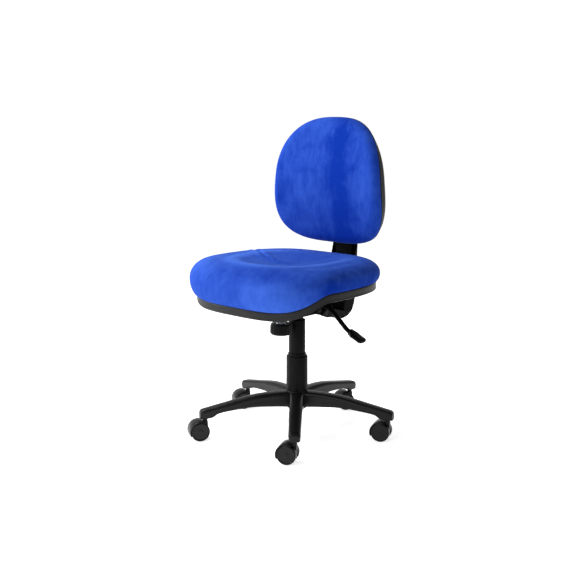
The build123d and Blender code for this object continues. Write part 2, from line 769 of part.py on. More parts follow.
with BuildPart() as back_panel:
    add(back_slab(-8, -PAD_REAR - PANEL_THICK, -PAD_REAR))
save(back_panel, "back_panel")

BACK_WALL = 2.5
PANEL_REAR = PAD_REAR + PANEL_THICK + GAP
DOME_SECTIONS = ((120, 0), (176, -5), (205, -40), (224, -95))
POCKET_SECTIONS = ((195, 68, 588, 830), (POCKET_Y, 58, 600, 806))


def shell_dome(inward):
    """Domed rear of the back with its middle pocket, drawn in by a wall."""
    with BuildPart() as dome:
        for y, grow in DOME_SECTIONS:
            with BuildSketch(Plane.XZ.offset(inward - y)):
                with BuildLine():
                    outline(back_point, grow - inward)
                make_face()
        loft()
        for y, half, low, high in POCKET_SECTIONS:
            with BuildSketch(Plane.XZ.offset(inward - y)):
                with Locations((0, (low + high) / 2)):
                    RectangleRounded(2 * (half - inward), high - low - 2 * inward, 24)
        loft()
    return dome.part


with BuildPart() as back_shell:
    add(shell_dome(0))
    add(back_slab(-0.5, -PANEL_REAR - BACK_WALL, -PAD_REAR - GAP))
    add(shell_dome(BACK_WALL), mode=Mode.SUBTRACT)
    add(back_slab(-8 + GAP, -PANEL_REAR, 300), mode=Mode.SUBTRACT)
    add(back_slab(40, -PAD_REAR - GAP, 300), mode=Mode.SUBTRACT)
    with BuildSketch(Plane.XY.offset(500)):
        with Locations((0, upright_y(600))):
            Rectangle(2 * COVER_HALF + 6, COVER_THICK + 10)
    extrude(amount=150, mode=Mode.SUBTRACT)
save(back_shell, "back_shell")

LEAN_AXIS = Vector(0, sin(radians(LEAN)), cos(radians(LEAN)))
ratchet = Plane(origin=(0, upright_y(SLEEVE_LOW), SLEEVE_LOW), x_dir=(1, 0, 0), z_dir=LEAN_AXIS)

with BuildPart() as ratchet_sleeve:
    with BuildSketch(ratchet):
        Rectangle(2 * SLEEVE_HALF, 2 * SLEEVE_DEPTH)
        Rectangle(2 * (BAR_HALF + GAP), BAR_THICK + 2 * GAP, mode=Mode.SUBTRACT)
    extrude(amount=SLEEVE_TALL)
save(ratchet_sleeve, "ratchet_sleeve")

with BuildPart() as back_channel:
    with BuildSketch(ratchet):
        with Locations((0, -SLEEVE_DEPTH)):
            Rectangle(2 * CHANNEL_HALF, 150, align=(Align.CENTER, Align.MAX))
        with Locations((0, -SLEEVE_DEPTH - 2.5)):
            Rectangle(2 * CHANNEL_HALF - 5, 147.5, align=(Align.CENTER, Align.MAX), mode=Mode.SUBTRACT)
    extrude(amount=SLEEVE_TALL)
    add(back_slab(40, -PAD_REAR - PANEL_THICK, 400), mode=Mode.SUBTRACT)
save(back_channel, "back_channel")
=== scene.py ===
"""Looks of the swivel office chair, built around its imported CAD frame. Metres, +Z up, -Y the front."""

import json
from math import atan2, cos, exp, pi, radians, sin, sqrt, tan

import bmesh
import bpy
import numpy as np
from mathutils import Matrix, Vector


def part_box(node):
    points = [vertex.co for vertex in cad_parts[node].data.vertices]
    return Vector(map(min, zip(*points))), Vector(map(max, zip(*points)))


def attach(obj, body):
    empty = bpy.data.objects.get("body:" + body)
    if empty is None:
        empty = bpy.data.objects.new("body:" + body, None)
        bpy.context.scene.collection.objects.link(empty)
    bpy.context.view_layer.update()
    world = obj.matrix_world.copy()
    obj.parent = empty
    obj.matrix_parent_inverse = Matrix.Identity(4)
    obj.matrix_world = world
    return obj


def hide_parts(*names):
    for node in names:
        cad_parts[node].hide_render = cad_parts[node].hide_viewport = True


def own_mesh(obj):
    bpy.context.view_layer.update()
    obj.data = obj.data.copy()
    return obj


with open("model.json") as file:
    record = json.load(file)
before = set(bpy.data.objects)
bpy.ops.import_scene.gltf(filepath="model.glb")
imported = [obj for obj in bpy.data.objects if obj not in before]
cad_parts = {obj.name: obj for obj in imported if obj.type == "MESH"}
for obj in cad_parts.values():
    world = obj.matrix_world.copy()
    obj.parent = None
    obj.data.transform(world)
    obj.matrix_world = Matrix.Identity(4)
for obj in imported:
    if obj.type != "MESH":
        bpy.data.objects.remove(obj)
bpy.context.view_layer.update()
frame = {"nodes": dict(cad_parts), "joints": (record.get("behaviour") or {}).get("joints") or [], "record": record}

MM = 0.001
record = frame["record"]
joints = {joint["name"]: joint for joint in frame["joints"]}

# ---------------------------------------------------------------- mesh helpers


def make_object(name, verts, faces, material):
    """A smooth-shaded mesh object with one material."""
    mesh = bpy.data.meshes.new(name)
    mesh.from_pydata([tuple(map(float, v)) for v in verts], [], faces)
    mesh.validate()
    bm = bmesh.new()
    bm.from_mesh(mesh)
    bmesh.ops.remove_doubles(bm, verts=bm.verts, dist=1e-6)
    bmesh.ops.triangulate(bm, faces=[face for face in bm.faces if len(face.verts) > 4])
    bmesh.ops.recalc_face_normals(bm, faces=bm.faces)
    bm.to_mesh(mesh)
    bm.free()
    piece = bpy.data.objects.new(name, mesh)
    bpy.context.scene.collection.objects.link(piece)
    mesh.materials.append(material)
    smooth(piece)
    return piece


def smooth(piece, angle=38):
    """Smooth shading that keeps edges sharper than an angle."""
    for face in piece.data.polygons:
        face.use_smooth = True
    piece.data.set_sharp_from_angle(angle=radians(angle))


def rings(parts, loops, close_start=True, close_end=True):
    """Adds a skin through equal closed loops of points to parts, a pair of lists (verts, faces)."""
    verts, faces = parts
    base, count = len(verts), len(loops[0])
    for loop in loops:
        verts.extend(loop)
    for i in range(len(loops) - 1):
        for j in range(count):
            k = (j + 1) % count
            low, high = base + i * count, base + (i + 1) * count
            faces.append((low + j, low + k, high + k, high + j))
    if close_start:
        faces.append(tuple(base + j for j in range(count)))
    if close_end:
        faces.append(tuple(base + (len(loops) - 1) * count + j for j in range(count)))
    return parts


def turned(parts, profile, origin, axis=(0, 0, 1), across=(1, 0, 0), segments=72, ripple=None):
    """Adds a body of revolution through (radius, height) points; ripple changes a radius by angle."""
    up, side = Vector(axis).normalized(), Vector(across).normalized()
    other = up.cross(side)
    loops = []
    for radius, height in profile:
        loop = []
        for j in range(segments):
            turn = 2 * pi * j / segments
            r = max(radius, 1e-5) if ripple is None else ripple(radius, height, turn)
            loop.append(Vector(origin) + up * height + (side * cos(turn) + other * sin(turn)) * r)
        loops.append(loop)
    return rings(parts, loops, profile[0][0] > 0, profile[-1][0] > 0)


def ring_body(parts, profile, origin, axis=(0, 0, 1), across=(1, 0, 0), segments=72):
    """Adds a closed ring of revolution, such as a tube with a wall."""
    up, side = Vector(axis).normalized(), Vector(across).normalized()
    other = up.cross(side)
    verts, faces = parts
    base, count = len(verts), len(profile)
    for j in range(segments):
        turn = 2 * pi * j / segments
        ray = side * cos(turn) + other * sin(turn)
        verts.extend(Vector(origin) + up * height + ray * radius for radius, height in profile)
    for j in range(segments):
        low, high = base + j * count, base + ((j + 1) % segments) * count
        for i in range(count):
            k = (i + 1) % count
            faces.append((low + i, low + k, high + k, high + i))
    return parts


def inset_loop(points, amount):
    """Closed 2D outline moved inwards along its own normals."""
    points = np.asarray(points, float)
    along = np.roll(points, -1, 0) - np.roll(points, 1, 0)
    normal = np.stack([-along[:, 1], along[:, 0]], 1)
    normal /= np.maximum(np.linalg.norm(normal, axis=1, keepdims=True), 1e-9)
    area = 0.5 * np.sum(points[:, 0] * np.roll(points[:, 1], -1) - np.roll(points[:, 0], -1) * points[:, 1])
    return points + normal * amount * (1 if area > 0 else -1)


def slab(parts, points, place, low, high, radius, steps=4):
    """Adds a plate with a rounded rim: an outline, and place(u, v, w) from outline and depth to a point."""
    loops = []
    turns = [pi / 2 * i / steps for i in range(steps + 1)]
    for turn in turns:
        loops.append((radius * (1 - sin(turn)), low + radius * (1 - cos(turn))))
    for turn in reversed(turns):
        loops.append((radius * (1 - sin(turn)), high - radius * (1 - cos(turn))))
    return rings(parts, [[place(u, v, w) for u, v in inset_loop(points, inset)] for inset, w in loops])


def tube(parts, path, radius, segments=20):
    """Adds a round bar along a smooth list of points."""
    path = [Vector(p) for p in path]
    loops = []
    side = None
    for i, point in enumerate(path):
        ahead, behind = path[min(i + 1, len(path) - 1)], path[max(i - 1, 0)]
        along = (ahead - behind).normalized()
        if side is None:
            side = along.orthogonal().normalized()
        side = (side - along * side.dot(along)).normalized()
        other = along.cross(side)
        turns = [2 * pi * j / segments for j in range(segments)]
        loops.append([point + (side * cos(turn) + other * sin(turn)) * radius for turn in turns])
    return rings(parts, loops)


def resample(points, count, closed=True):
    """Points spaced evenly along a line."""
    points = np.asarray(points, float)
    if closed:
        points = np.vstack([points, points[:1]])
    reach = np.concatenate([[0], np.cumsum(np.linalg.norm(np.diff(points, axis=0), axis=1))])
    wanted = np.linspace(0, reach[-1], count, endpoint=not closed)
    return np.stack([np.interp(wanted, reach, points[:, i]) for i in range(points.shape[1])], 1)


def rounded(corners, radius, steps=6, closed=True):
    """Polyline whose corners are replaced by smooth arcs (quadratic), as a list of 2D or 3D points."""
    corners = [np.asarray(c, float) for c in corners]
    out = []
    count = len(corners)
    for i, corner in enumerate(corners):
        if not closed and i in (0, count - 1):
            out.append(corner)
            continue
        before, after = corners[i - 1], corners[(i + 1) % count]
        size = radius[i] if isinstance(radius, (list, tuple)) else radius
        a = corner + (before - corner) * min(0.49, size / max(np.linalg.norm(before - corner), 1e-9))
        b = corner + (after - corner) * min(0.49, size / max(np.linalg.norm(after - corner), 1e-9))
        for s in np.linspace(0, 1, steps):
            out.append((1 - s) ** 2 * a + 2 * s * (1 - s) * corner + s * s * b)
    return out


def build(name, parts, material, body, replaced=()):
    """Makes the object, rides it on a body and hides the CAD nodes that it stands for."""
    piece = make_object(name, parts[0], parts[1], material)
    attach(piece, body)
    if replaced:
        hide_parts(*replaced)
    return piece


def refine(piece, levels=1):
    """Applies a subdivision, so that small folds have enough points."""
    modifier = piece.modifiers.new("refine", "SUBSURF")
    modifier.levels = modifier.render_levels = levels
    depsgraph = bpy.context.evaluated_depsgraph_get()
    finer = bpy.data.meshes.new_from_object(piece.evaluated_get(depsgraph))
    piece.modifiers.clear()
    piece.data = finer


def store_light_and_nap(piece, nap_and_light):
    """Stores painted light and shade and the nap's tone at each vertex, from a function of x, y and z."""
    layer = piece.data.attributes.new("nap_and_light", "FLOAT", "POINT")
    layer.data.foreach_set("value", [float(nap_and_light(*v.co)) for v in piece.data.vertices])


def in_metres(points):
    """Pairs in millimetres as pairs in metres."""
    return [(u * MM, v * MM) for u, v in points]


def power(value, exponent):
    return (1 if value >= 0 else -1) * abs(value) ** exponent


def ease(value):
    value = min(1.0, max(0.0, value))
    return value * value * (3 - 2 * value)


# ---------------------------------------------------------------- materials


class Nodes:
    """Short way to wire a procedural material around one Principled BSDF."""

    def __init__(self, name, color, roughness, **sockets):
        self.material = bpy.data.materials.new(name)
        self.material.use_nodes = True
        self.tree = self.material.node_tree
        self.bsdf = self.tree.nodes["Principled BSDF"]
        self.bsdf.inputs["Base Color"].default_value = (*color, 1)
        self.bsdf.inputs["Roughness"].default_value = roughness
        for socket, value in sockets.items():
            self.bsdf.inputs[socket.replace("_", " ")].default_value = value
        self.place = self.add("ShaderNodeTexCoord").outputs["Object"]

    def add(self, kind, **values):
        node = self.tree.nodes.new(kind)
        for key, value in values.items():
            if hasattr(node, key):
                setattr(node, key, value)
            else:
                node.inputs[key.replace("_", " ")].default_value = value
        return node

    def link(self, a, b):
        self.tree.links.new(a, b)

    def stretched(self, x, y, z):
        node = self.add("ShaderNodeMapping")
        node.inputs["Scale"].default_value = (x, y, z)
        self.link(self.place, node.inputs["Vector"])
        return node.outputs["Vector"]

    def noise(self, scale, detail=3.0, roughness=0.5, vector=None, distortion=0.0):
        node = self.add("ShaderNodeTexNoise", Scale=scale, Detail=detail, Roughness=roughness,
                        Distortion=distortion)
        self.link(vector or self.place, node.inputs["Vector"])
        return node.outputs["Fac"]

    def cells(self, scale, feature="F1"):
        node = self.add("ShaderNodeTexVoronoi", Scale=scale)
        node.feature = feature
        self.link(self.place, node.inputs["Vector"])
        return node.outputs["Distance"]

    def spread(self, value, low, high, new_low=0.0, new_high=1.0):
        node = self.add("ShaderNodeMapRange")
        for index, number in enumerate((low, high, new_low, new_high)):
            node.inputs[index + 1].default_value = number
        self.link(value, node.inputs[0])
        return node.outputs[0]

    def maths(self, operation, a, b):
        node = self.add("ShaderNodeMath", operation=operation)
        for index, value in enumerate((a, b)):
            if isinstance(value, (int, float)):
                node.inputs[index].default_value = value
            else:
                self.link(value, node.inputs[index])
        return node.outputs[0]

    def mix(self, factor, a, b):
        node = self.add("ShaderNodeMix", data_type="RGBA")
        for socket, value in (("A", a), ("B", b)):
            target = [s for s in node.inputs if s.name == socket and s.type == "RGBA"][0]
            if isinstance(value, tuple):
                target.default_value = (*value, 1)
            else:
                self.link(value, target)
        self.link(factor, node.inputs[0])
        return [s for s in node.outputs if s.type == "RGBA"][0]

    def bump(self, height, distance, strength=1.0, normal=None):
        node = self.add("ShaderNodeBump", Distance=distance, Strength=strength)
        self.link(height, node.inputs["Height"])
        if normal is not None:
            self.link(normal, node.inputs["Normal"])
        return node.outputs["Normal"]

    def color_from(self, output):
        self.link(output, self.bsdf.inputs["Base Color"])

    def rough_from(self, output):
        self.link(output, self.bsdf.inputs["Roughness"])

    def normal_from(self, output):
        self.link(output, self.bsdf.inputs["Normal"])


def fabric(name, deep, mid, light):
    """Brushed upholstery: painted light and shade and the nap's tone from a vertex attribute, clouds and strokes,
    with short fibres.
    """
    n = Nodes(name, mid, 0.9, Sheen_Weight=0.1, Sheen_Roughness=0.35, Specular_IOR_Level=0.03)
    n.bsdf.inputs["Sheen Tint"].default_value = (0.28, 0.55, 1.0, 1)
    light_and_nap_tone = n.add("ShaderNodeAttribute", attribute_name="nap_and_light").outputs["Fac"]
    cloud = n.spread(n.noise(13, 4, 0.62, distortion=0.6), 0.3, 0.7, -0.5, 0.5)
    stroke = n.spread(n.noise(60, 5, 0.65, n.stretched(1.0, 0.6, 0.3)), 0.3, 0.72, -0.5, 0.5)
    fibre = n.noise(950, 2, 0.6)
    uneven = n.maths("ADD", n.maths("MULTIPLY", cloud, 0.3), n.maths("MULTIPLY", stroke, 0.24))
    # The vertex attribute carries painted light and shade, so the mix towards deep is partly painted shade and
    # towards light partly a painted sheen highlight.
    base = n.mix(n.maths("ADD", light_and_nap_tone, uneven), deep, light)
    n.color_from(n.mix(n.spread(fibre, 0.25, 0.8, 0.0, 0.3), base, mid))
    knit = n.cells(1500)
    soft = n.bump(n.noise(60, 4, 0.6), 0.0011, 0.2)
    fine = n.bump(fibre, 0.00035, 0.5, soft)
    n.normal_from(n.bump(knit, 0.00022, 0.45, fine))
    return n.material


def plastic(name, color, roughness, grain=1400, depth=0.00006, worn=1.25, shine=0.09):
    """Moulded plastic: fine spark-eroded grain, slight unevenness and faint rubbed patches."""
    n = Nodes(name, color, roughness, Specular_IOR_Level=shine)
    patch = n.spread(n.noise(16, 5, 0.7), 0.35, 0.75)
    lighter = tuple(min(1.0, c * worn + 0.002) for c in color)
    n.color_from(n.mix(patch, color, lighter))
    n.rough_from(n.spread(n.noise(38, 4, 0.65), 0.3, 0.7, roughness - 0.05, roughness + 0.07))
    wavy = n.bump(n.noise(22, 2), 0.0006, 0.12)
    n.normal_from(n.bump(n.cells(grain), depth, 0.6, wavy))
    return n.material


def metal(name, color, roughness, metallic=1.0, scale=260, flake=0.00005):
    """Plated or painted steel with a little orange peel and dulled patches."""
    n = Nodes(name, color, roughness, Metallic=metallic)
    patch = n.spread(n.noise(30, 5, 0.7), 0.35, 0.7)
    n.color_from(n.mix(patch, color, tuple(c * 0.72 for c in color)))
    n.rough_from(n.spread(n.noise(90, 3), 0.3, 0.7, roughness - 0.06, roughness + 0.12))
    n.normal_from(n.bump(n.noise(scale, 3), flake, 0.5))
    return n.material


def wood(name):
    """Raw plywood."""
    n = Nodes(name, (0.5, 0.34, 0.19), 0.7)
    grain = n.noise(26, 6, 0.6, n.stretched(1.0, 9.0, 9.0), 0.8)
    n.color_from(n.mix(n.spread(grain, 0.3, 0.7), (0.42, 0.27, 0.14), (0.62, 0.45, 0.27)))
    n.normal_from(n.bump(grain, 0.0003, 0.4))
    return n.material


# The deep and light blues stand for painted shade and a painted sheen highlight as well as the nap's darker and
# lighter tone; mid is the cloth's own blue.
blue = fabric("blue_fabric", (0.0012, 0.021, 0.25), (0.0032, 0.036, 0.335), (0.046, 0.125, 0.56))
shell_black = plastic("shell_plastic", (0.0105, 0.0107, 0.0111), 0.37, depth=0.00009, shine=0.16)
cover_black = plastic("cover_plastic", (0.0009, 0.001, 0.0012), 0.45, depth=0.00009, shine=0.02)
base_black = plastic("base_nylon", (0.0045, 0.0045, 0.0047), 0.32, grain=1700, depth=0.00007, shine=0.17)
sleeve_black = plastic("sleeve_plastic", (0.0028, 0.0028, 0.0028), 0.4, grain=1500, depth=0.00005, shine=0.07)
wheel_black = plastic("wheel_nylon", (0.0035, 0.0035, 0.0038), 0.24, grain=1800, depth=0.00004, shine=0.2)
grip_black = plastic("grip_plastic", (0.0015, 0.0015, 0.0017), 0.33, grain=1600, depth=0.00005, shine=0.08)
black_paint = metal("black_paint", (0.002, 0.002, 0.0022), 0.36, metallic=0.0)
black_paint.node_tree.nodes["Principled BSDF"].inputs["Specular IOR Level"].default_value = 0.06
zinc = metal("zinc_plate", (0.56, 0.57, 0.6), 0.32)
plywood = wood("plywood")
blackened = metal("blackened_steel", (0.006, 0.006, 0.0065), 0.34, metallic=0.0)
blackened.node_tree.nodes["Principled BSDF"].inputs["Specular IOR Level"].default_value = 0.2

BY_SLOT = {
    "black_nylon": base_black,
    "shell_plastic": shell_black,
    "smooth_plastic": wheel_black,
    "black_steel": black_paint,
    "bright_steel": zinc,
    "blue_fabric": blue,
    "plywood": plywood,
}
for subpart in record["subparts"]:
    node = frame["nodes"][subpart["node"]]
    node.data.materials.clear()
    node.data.materials.append(BY_SLOT[subpart["material_slot"]])
for name in ("tilt_shaft", "angle_shaft"):
    frame["nodes"][name].data.materials[0] = blackened

# ---------------------------------------------------------------- seat

shell_low, shell_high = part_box("seat_shell")
EDGE = 1 * MM  # the shell's outline is this far inside the seam outline
SEAT_HALF = shell_high.x + EDGE
SEAT_MIDDLE = -84 * MM
SEAT_FRONT = SEAT_MIDDLE - shell_low.y + EDGE
SEAT_REAR = shell_high.y - SEAT_MIDDLE + EDGE
SEAT_TAPER = 0.145
FRONT_BEND, REAR_BEND = 2.88, 3.76
SEAM = shell_high.z
SHELL_DEPTH = 26 * MM
DROP_LENGTH = 133 * MM
SEAM_DROP = SEAM - SHELL_DEPTH - shell_low.z
AROUND = 200


def seat_outline(grow, count=AROUND):
    """Seat outline, grown outwards, as evenly spaced (x, y) points."""
    dense = []
    for i in range(4 * count):
        turn = 2 * pi * (i + 0.5) / (4 * count)
        depth, bend = (SEAT_FRONT, FRONT_BEND) if sin(turn) < 0 else (SEAT_REAR, REAR_BEND)
        rear = max(0.0, sin(turn)) ** (4 / bend) if sin(turn) > 0 else 0.0
        across = SEAT_HALF * (1 - SEAT_TAPER * rear) + grow
        dense.append((across * power(cos(turn), 2 / bend),
                      SEAT_MIDDLE + (depth + grow) * power(sin(turn), 2 / bend)))
    return resample(dense, count)


def seam_height(y):
    """Height of the seam between fabric and shell; it dips towards the front edge."""
    return SEAM - SEAM_DROP * ease((SEAT_MIDDLE - SEAT_FRONT + DROP_LENGTH - y) / DROP_LENGTH)


def frontness(y):
    """1 at the front edge of the seat, 0 behind its middle."""
    return ease((SEAT_MIDDLE - y) / SEAT_FRONT)


DISH_HALF, DISH_FRONT, DISH_REAR, DISH_MIDDLE = 0.158, 0.182, 0.165, -0.022


def dish(x, y):
    """0 in the middle of the sitting hollow, 1 along its crest."""
    depth = DISH_FRONT if y < DISH_MIDDLE else DISH_REAR
    return (abs(x / DISH_HALF) ** 2.5 + abs((y - DISH_MIDDLE) / depth) ** 2.5) ** 0.4


def seat_top(x, y):
    """Sitting surface: a shallow hollow inside a soft crest."""
    r = dish(x, y)
    ridge = 4 * MM * exp(-((r - 1.0) / 0.16) ** 2) * ease((0.12 - y) / 0.12)
    return SEAM + (64 + 2 * frontness(y)) * MM - 14 * MM * exp(-(r / 0.72) ** 2.2) + ridge


def roll_sizes(y):
    """Bulge beyond the outline, height of the widest line and inset of the crest, at a place along y."""
    front = frontness(y)
    return (9 + 12 * front) * MM, (24 + 22 * front) * MM, (50 + 50 * front) * MM


def seat_cushion_loops():
    """Loops of the cushion from under the seam, out over the bulge and in to the middle."""
    loops = []
    loops.append([(x, y, seam_height(y) - 1.0 * MM) for x, y in seat_outline(-9 * MM)])
    loops.append([(x, y, seam_height(y) - 0.2 * MM) for x, y in seat_outline(-4 * MM)])
    edge = seat_outline(0.0)
    unit = seat_outline(1.0) - edge
    for step in range(1, 9):
        turn = pi / 2 * step / 8
        loop = []
        for (x, y), (nx, ny) in zip(edge, unit):
            bulge, rise, _ = roll_sizes(y)
            g = -1.5 * MM + (bulge + 1.5 * MM) * sin(turn)
            loop.append((x + nx * g, y + ny * g, seam_height(y) + rise * (1 - cos(turn))))
        loops.append(loop)
    for step in range(1, 19):
        turn = pi / 2 * step / 18
        loop = []
        for (x, y), (nx, ny) in zip(edge, unit):
            bulge, rise, inset = roll_sizes(y)
            g = bulge - inset * (1 - cos(turn))
            px, py = x + nx * g, y + ny * g
            low = seam_height(y) + rise
            loop.append((px, py, low + (seat_top(px, py) - low) * sin(turn)))
        loops.append(loop)
    last = np.array(loops[-1])
    for step in range(1, 25):
        share = 1 - step / 24 if step < 24 else 1e-4
        loop = []
        for x, y, _ in last:
            px, py = x * share, SEAT_MIDDLE + (y - SEAT_MIDDLE) * share
            loop.append((px, py, seat_top(px, py)))
        loops.append(loop)
    return loops


CREASES = (  # along the seat's top: points (x, y), half width and depth
    (((-0.25, 0.05), (-0.19, 0.022), (-0.12, -0.022), (-0.06, -0.053), (0.02, -0.046)), 5.5 * MM, 4.2 * MM),
    (((-0.06, -0.075), (-0.01, -0.08), (0.04, -0.068)), 5 * MM, 2.2 * MM),
    (((0.03, -0.125), (0.085, -0.112), (0.12, -0.08)), 9 * MM, 1.6 * MM),
)


def crease_depth(x, y):
    """How far a fold pushes the fabric in at a place, with a low roll beside it."""
    total = np.zeros_like(x)
    for points, half, depth in CREASES:
        line = resample(rounded(points, 0.03, closed=False), 60, closed=False)
        apart = np.hypot(x[:, None] - line[None, :, 0], y[:, None] - line[None, :, 1])
        nearest = apart.argmin(1)
        gap = apart.min(1)
        fade = np.sin(np.pi * np.clip((nearest + 4) / 67.0, 0, 1)) ** 0.7
        groove = np.exp(-(gap / half) ** 2)
        roll = 0.45 * np.exp(-((gap - 2.6 * half) / (1.6 * half)) ** 2)
        total += depth * fade * (groove - roll)
    return total


def seat_painted_light(x, y, z):
    """Painted light and shade on the seat cover: a painted highlight along the crest, lighter towards -X and on
    the front face, painted shade in the hollow and on the +X flank.
    """
    low = ease((SEAM + 48 * MM - z) / (40 * MM))
    front = ease((-0.15 - y) / 0.08)
    flank_shade = ease((x - 0.16) / 0.07) * low * (1 - front)
    crest_highlight = exp(-((dish(x, y) - 1.03) / 0.11) ** 2) * ease((0.16 - y) / 0.16)
    left = ease((0.02 - x) / 0.25)
    face = front * low * (0.06 + 0.42 * exp(-((x - 0.14) / 0.1) ** 2))
    return 0.31 + crest_highlight * (0.62 + 0.6 * left) + 0.34 * left * (1 - low) + face - 0.24 * flank_shade


def seat_pieces():
    parts = rings(([], []), seat_cushion_loops(), True, False)
    cushion = build("seat_cushion_cover", parts, blue, "seat", ["seat_cushion"])
    refine(cushion)
    co = np.array([v.co for v in cushion.data.vertices])
    top = co[:, 2] > SEAM + 30 * MM
    co[top, 2] -= crease_depth(co[top, 0], co[top, 1])
    cushion.data.vertices.foreach_set("co", co.astype(np.float32).ravel())
    cushion.data.update()
    # Paints light and shade onto the seat cover: a highlight along the crest and the lit side, shade on the far
    # flank.
    store_light_and_nap(cushion, seat_painted_light)

    def loop(grow, drop):
        return [(x, y, seam_height(y) - drop) for x, y in seat_outline(grow)]

    outline = [(-7, 1.2), (-2.6, 1.0), (-1.4, 2.2), (-1.0, 5), (-1.2, 14), (-1.6, 21), (-1.2, 22.2),
               (-0.9, 23.6), (-1.4, 25.2), (-3.2, 26), (-8, 26), (-14, 25.6), (-30, 25.6), (-60, 25.8)]
    loops = [loop(grow * MM, drop * MM) for grow, drop in outline]
    for share in (0.6, 0.4, 0.2, 0.02):
        loops.append([(x * share, SEAT_MIDDLE + (y - SEAT_MIDDLE) * share,
                       seam_height(SEAT_MIDDLE + (y - SEAT_MIDDLE) * share) - SHELL_DEPTH)
                      for x, y in seat_outline(-60 * MM)])
    build("seat_under_shell", rings(([], []), loops, False, True), shell_black, "seat",
          ["seat_shell"])


# ---------------------------------------------------------------- back

pad_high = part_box("back_pad")[1]
BACK_Z = 799 * MM
BACK_RISE = pad_high.z - BACK_Z
BACK_HALF = 213 * MM
BACK_TAPER = 0.086
BACK_Y = 160 * MM
WRAP, LUMBAR = 0.44, 0.74
PAD_REAR = 8 * MM  # the pad's seam, behind the middle sheet
PAD_LIP = 5 * MM  # how far the seam is inside the widest line
PAD_SIDE, PAD_ROLL = 12 * MM, 23 * MM  # depth of the pad behind and ahead of its widest line
PAD_INSET = 34 * MM  # how far inside the outline its front face starts
PAD_CROWN = 7 * MM
SHELL_RIM = PAD_REAR + 0.4 * MM
SHELL_AROUND = 320
POCKET_HALF, POCKET_LOW, POCKET_HIGH = 58 * MM, 600 * MM - BACK_Z, 806 * MM - BACK_Z
dome_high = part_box("back_shell")[1]


def back_outline(grow, count=AROUND):
    """Back outline seen from the front, grown outwards, as evenly spaced (u, v) points."""
    dense = []
    for i in range(4 * count):
        turn = 2 * pi * (i + 0.5) / (4 * count)
        bend = 2.64 if sin(turn) > 0 else 3.25
        rise = power(sin(turn), 2 / bend)
        dense.append(((BACK_HALF + grow) * power(cos(turn), 2 / bend) * (1 - BACK_TAPER * rise),
                      (BACK_RISE + grow) * rise))
    return resample(dense, count)


def sheet_y(u, v):
    """The back's curved middle sheet."""
    return BACK_Y - WRAP * u * u + LUMBAR * v * v


def back_pad_loops():
    """Loops of the pad from its rear seam, round the side and in to the middle of its front."""
    edge = back_outline(0.0)
    unit = back_outline(1.0) - edge

    def loop(grow, depth):
        out = []
        for (u, v), (nu, nv) in zip(edge, unit):
            pu, pv = u + nu * grow, v + nv * grow
            out.append((pu, sheet_y(pu, pv) + depth, BACK_Z + pv))
        return out

    loops = [loop(-9 * MM, PAD_REAR - 1 * MM), loop(-PAD_LIP, PAD_REAR)]
    for step in range(1, 7):
        turn = pi / 2 * step / 6
        loops.append(loop(-PAD_LIP + PAD_LIP * sin(turn), PAD_REAR - PAD_SIDE * (1 - cos(turn))))
    for step in range(1, 15):
        turn = pi / 2 * step / 14
        depth = PAD_REAR - PAD_SIDE - PAD_ROLL * sin(turn) ** 0.9
        loops.append(loop(-PAD_INSET * (1 - cos(turn) ** 0.9), depth))
    last = [(u - nu * PAD_INSET, v - nv * PAD_INSET) for (u, v), (nu, nv) in zip(edge, unit)]
    depth = PAD_REAR - PAD_SIDE - PAD_ROLL
    for step in range(1, 21):
        share = 1 - step / 20.0 if step < 20 else 1e-4
        crown = PAD_CROWN * (1 - share ** 2)
        loops.append([(u * share, sheet_y(u * share, v * share) + depth - crown, BACK_Z + v * share)
                      for u, v in last])
    return loops


def back_nap_and_light(x, y, z):
    """Painted light and shade on the back cover: lighter near both sides and towards the top and darker towards
    the bottom, with one dark band from top to bottom.
    """
    near = 0.06 * exp(-((x + 0.1) / 0.07) ** 2) + 0.1 * exp(-((x - 0.17) / 0.03) ** 2)
    band = 0.3 * exp(-((x - 0.062) / 0.045) ** 2)
    return 0.26 + near - band + 0.12 * ease((z - 0.9) / 0.1) - 0.12 * ease((0.68 - z) / 0.08)


DOME_REACH = (0, 1.2, 2.2, 3.4, 5, 8, 13, 20, 30, 40, 52, 66, 80, 95, 110, 125)  # inset from the rim, mm
DOME_DEPTHS = (150, 160, 168, 173, 176.5, 180, 185, 191, 198.5, 205, 210.5, 216.5, 221, 224, 225.4, 226)  # y


def shell_rear(u, v, inset):
    """Rear face of the shell at a place, at an inset in mm from its rim."""
    low = sheet_y(u, v) + SHELL_RIM + (12.4 * ease(inset / 8) + 0.03 * inset) * MM
    dome = np.interp(inset, DOME_REACH, DOME_DEPTHS) * MM
    blend = 5 * MM
    dome = 0.5 * (low + dome + sqrt((low - dome) ** 2 + blend * blend)) - 0.5 * blend
    side = ease((POCKET_HALF + 12 * MM - abs(u)) / (20 * MM))
    tall = ease((v - POCKET_LOW + 14 * MM) / (18 * MM)) * ease((POCKET_HIGH + 18 * MM - v) / (32 * MM))
    return dome + max(0.0, dome_high.y - dome) * side * tall * ease(inset / 12)


def back_shell_loops():
    """Loops of the rear shell from its rim, over the dome and in to its middle."""
    loops = []
    for grow in (-6 * MM, -1.6 * MM):
        rim = back_outline(grow, SHELL_AROUND)
        loops.append([(u, sheet_y(u, v) + SHELL_RIM - 0.2 * MM, BACK_Z + v) for u, v in rim])
    for inset in [0, 1.2, 2.2, 3.4, 5, 6.5, 8, 10] + list(range(13, 192, 4)):
        outline = back_outline(-(0.8 + inset) * MM, SHELL_AROUND)
        loops.append([(u, shell_rear(u, v, inset), BACK_Z + v) for u, v in outline])
    centre = back_outline(0, SHELL_AROUND) * 1e-3
    loops.append([(u, shell_rear(u, v, 195), BACK_Z + v) for u, v in centre])
    return loops


